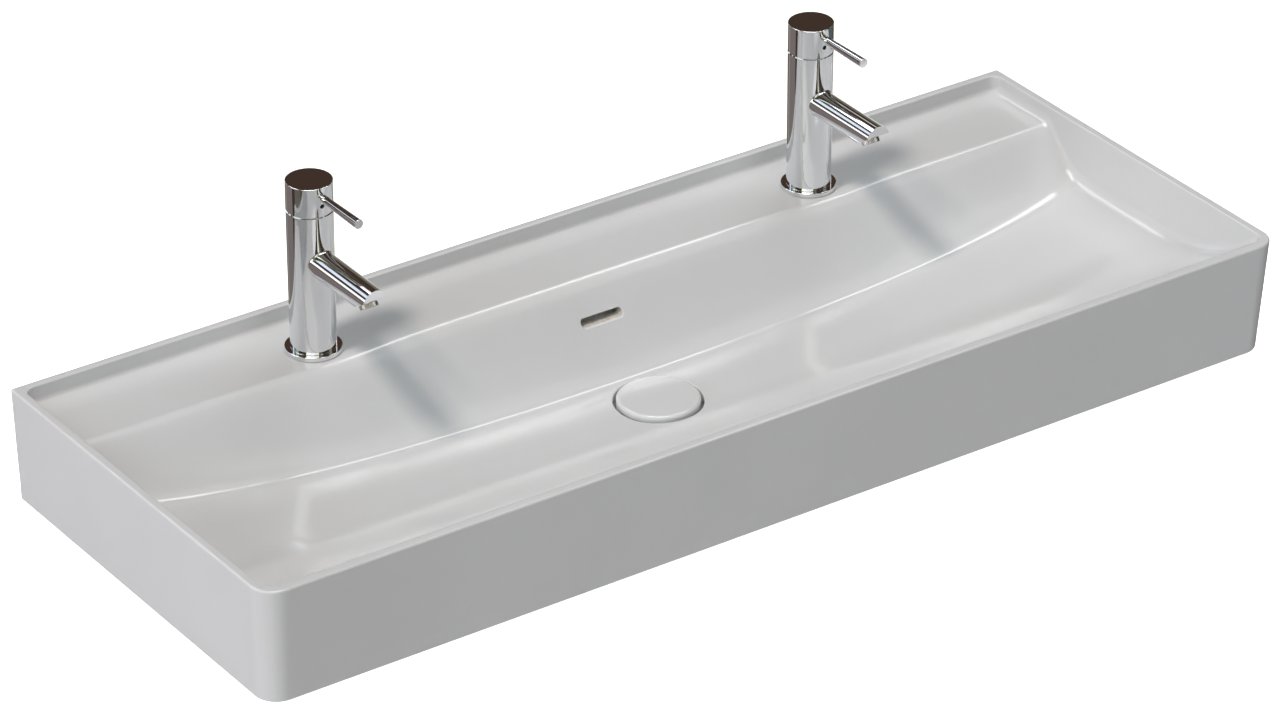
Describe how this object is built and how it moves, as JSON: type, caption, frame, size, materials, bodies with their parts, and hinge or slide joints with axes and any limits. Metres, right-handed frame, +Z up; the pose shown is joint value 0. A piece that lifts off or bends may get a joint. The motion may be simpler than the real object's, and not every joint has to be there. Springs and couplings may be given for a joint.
{
  "type": "trough sink",
  "caption": "Wide wall-hung trough sink in glazed fireclay, with single-lever mixer taps on a rear ledge, a bowl swept up to the front rim and a push-to-close drain cover.",
  "frame": {"origin": "midway between the wall bolt holes, on the rear face", "axes": "+X along the width to the user's right, +Y into the wall, +Z up; the user stands at -Y"},
  "size_m": [1.2, 0.465, 0.3693],
  "materials": {
    "glazed_fireclay": "gloss white glaze",
    "chrome": "polished",
    "rubber": "matt",
    "aerator_plastic": "matt",
    "cartridge_plastic": "matt",
    "brass": "machined",
    "steel": "zinc plated",
    "black_steel": "black oxide"
  },
  "bodies": {
    "sink": {"basin": "glazed_fireclay", "left_base_seal": "rubber", "left_base_ring": "chrome", "left_mixer_body": "chrome", "left_aerator_ring": "chrome", "left_aerator_insert": "aerator_plastic", "left_cartridge": "cartridge_plastic", "left_cartridge_nut": "brass", "right_base_seal": "rubber", "right_base_ring": "chrome", "right_mixer_body": "chrome", "right_aerator_ring": "chrome", "right_aerator_insert": "aerator_plastic", "right_cartridge": "cartridge_plastic", "right_cartridge_nut": "brass", "mounting_studs": "steel", "clamp_rubbers": "rubber", "clamp_washers": "steel", "stud_nuts": "brass", "waste_top_gasket": "rubber", "waste_flange": "chrome", "waste_click_body": "steel", "waste_bottom_gasket": "rubber", "waste_nut": "chrome"},
    "cover": {"cover": "glazed_fireclay", "cover_seal": "rubber", "cover_stem": "steel"},
    "left_turret": {"left_turret": "cartridge_plastic", "left_lift_pin": "steel"},
    "left_handle": {"left_stem": "steel", "left_handle_cap": "chrome", "left_lever": "chrome", "left_set_screw": "black_steel"},
    "right_turret": {"right_turret": "cartridge_plastic", "right_lift_pin": "steel"},
    "right_handle": {"right_stem": "steel", "right_handle_cap": "chrome", "right_lever": "chrome", "right_set_screw": "black_steel"}
  },
  "joints": [
    {"name": "left_temperature", "type": "hinge", "parent": "sink", "child": "left_turret", "pos_m": [-0.3004, -0.0715, 0.2033], "axis": [0, 0, 1], "range_deg": [-50, 50]},
    {"name": "left_flow", "type": "hinge", "parent": "left_turret", "child": "left_handle", "pos_m": [-0.3004, -0.0615, 0.2033], "axis": [-1, 0, 0], "range_deg": [0, 20]},
    {"name": "right_temperature", "type": "hinge", "parent": "sink", "child": "right_turret", "pos_m": [0.3004, -0.0715, 0.2033], "axis": [0, 0, 1], "range_deg": [-50, 50]},
    {"name": "right_flow", "type": "hinge", "parent": "right_turret", "child": "right_handle", "pos_m": [0.3004, -0.0615, 0.2033], "axis": [-1, 0, 0], "range_deg": [0, 20]},
    {"name": "cover_press", "type": "slide", "parent": "sink", "child": "cover", "axis": [0, 0, 1], "range_m": [-0.0045, 0]}
  ]
}
